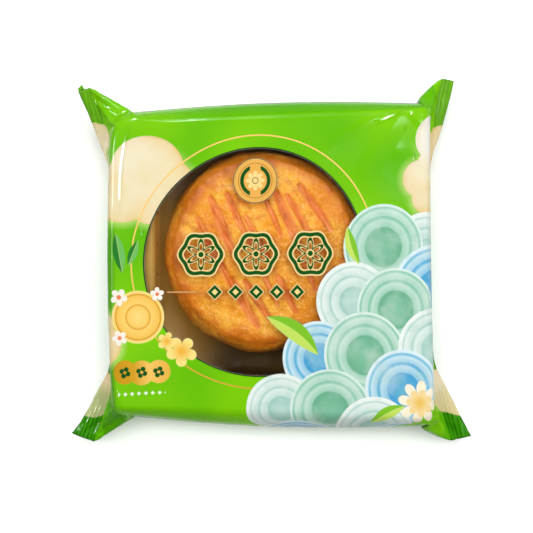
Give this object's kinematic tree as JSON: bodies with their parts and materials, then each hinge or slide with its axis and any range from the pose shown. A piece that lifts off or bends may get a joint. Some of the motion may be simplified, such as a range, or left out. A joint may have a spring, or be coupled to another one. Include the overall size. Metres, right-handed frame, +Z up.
{
  "type": "packaged mooncake",
  "caption": "Round baked mooncake in a plastic tray, sealed in a glossy green pillow pack with a round clear window and crimped end seals that flare into ears at the corners.",
  "frame": {"origin": "on the table, under the middle of the pack's box", "axes": "+X along the pack from one end seal to the other, +Y across it along the seals, +Z up through the window face"},
  "size_m": [0.1206, 0.1087, 0.022],
  "materials": {
    "film": "glossy printed plastic film, clear over a round window"
  },
  "bodies": {
    "root": {"pack": "film"}
  },
  "joints": []
}
